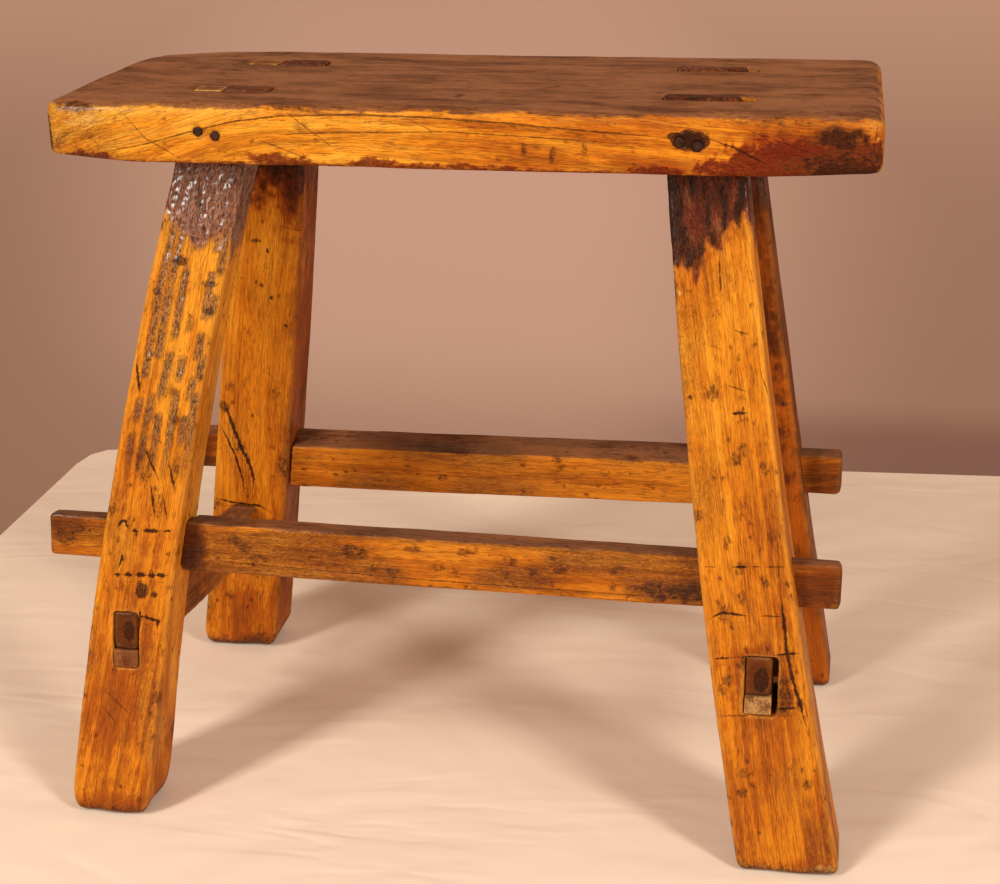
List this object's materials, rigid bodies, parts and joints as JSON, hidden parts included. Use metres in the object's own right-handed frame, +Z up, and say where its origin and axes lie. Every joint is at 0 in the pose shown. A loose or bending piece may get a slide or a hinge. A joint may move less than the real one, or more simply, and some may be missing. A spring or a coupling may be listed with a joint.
{
  "type": "child's stool",
  "caption": "Rustic wooden child's stool: plank seat on splayed legs with through tenons, braced by projecting long rails and wedged side rails.",
  "frame": {"origin": "on the floor, in the middle of the stool's bounding box", "axes": "+Z up, +X along the seat to the right as seen from the front, the front faces -Y"},
  "size_m": [0.4426, 0.2511, 0.3958],
  "materials": {
    "seat_wood": "worn and waxed, satin",
    "leg_wood": "worn and waxed, satin",
    "rail_wood": "worn and waxed, satin",
    "wedge_wood": "worn end grain, matt",
    "iron": "rusted, matt"
  },
  "bodies": {
    "root": {"seat": "seat_wood", "front_left_leg": "leg_wood", "front_right_leg": "leg_wood", "rear_left_leg": "leg_wood", "rear_right_leg": "leg_wood", "front_rail": "rail_wood", "rear_rail": "rail_wood", "left_rail": "rail_wood", "right_rail": "rail_wood", "front_left_seat_wedge": "wedge_wood", "front_right_seat_wedge": "wedge_wood", "rear_left_seat_wedge": "wedge_wood", "rear_right_seat_wedge": "wedge_wood", "left_rail_front_wedge": "wedge_wood", "left_rail_rear_wedge": "wedge_wood", "right_rail_front_wedge": "wedge_wood", "right_rail_rear_wedge": "wedge_wood", "front_left_seat_nails": "iron", "front_right_seat_nails": "iron", "rear_left_seat_nails": "iron", "rear_right_seat_nails": "iron"}
  },
  "joints": []
}
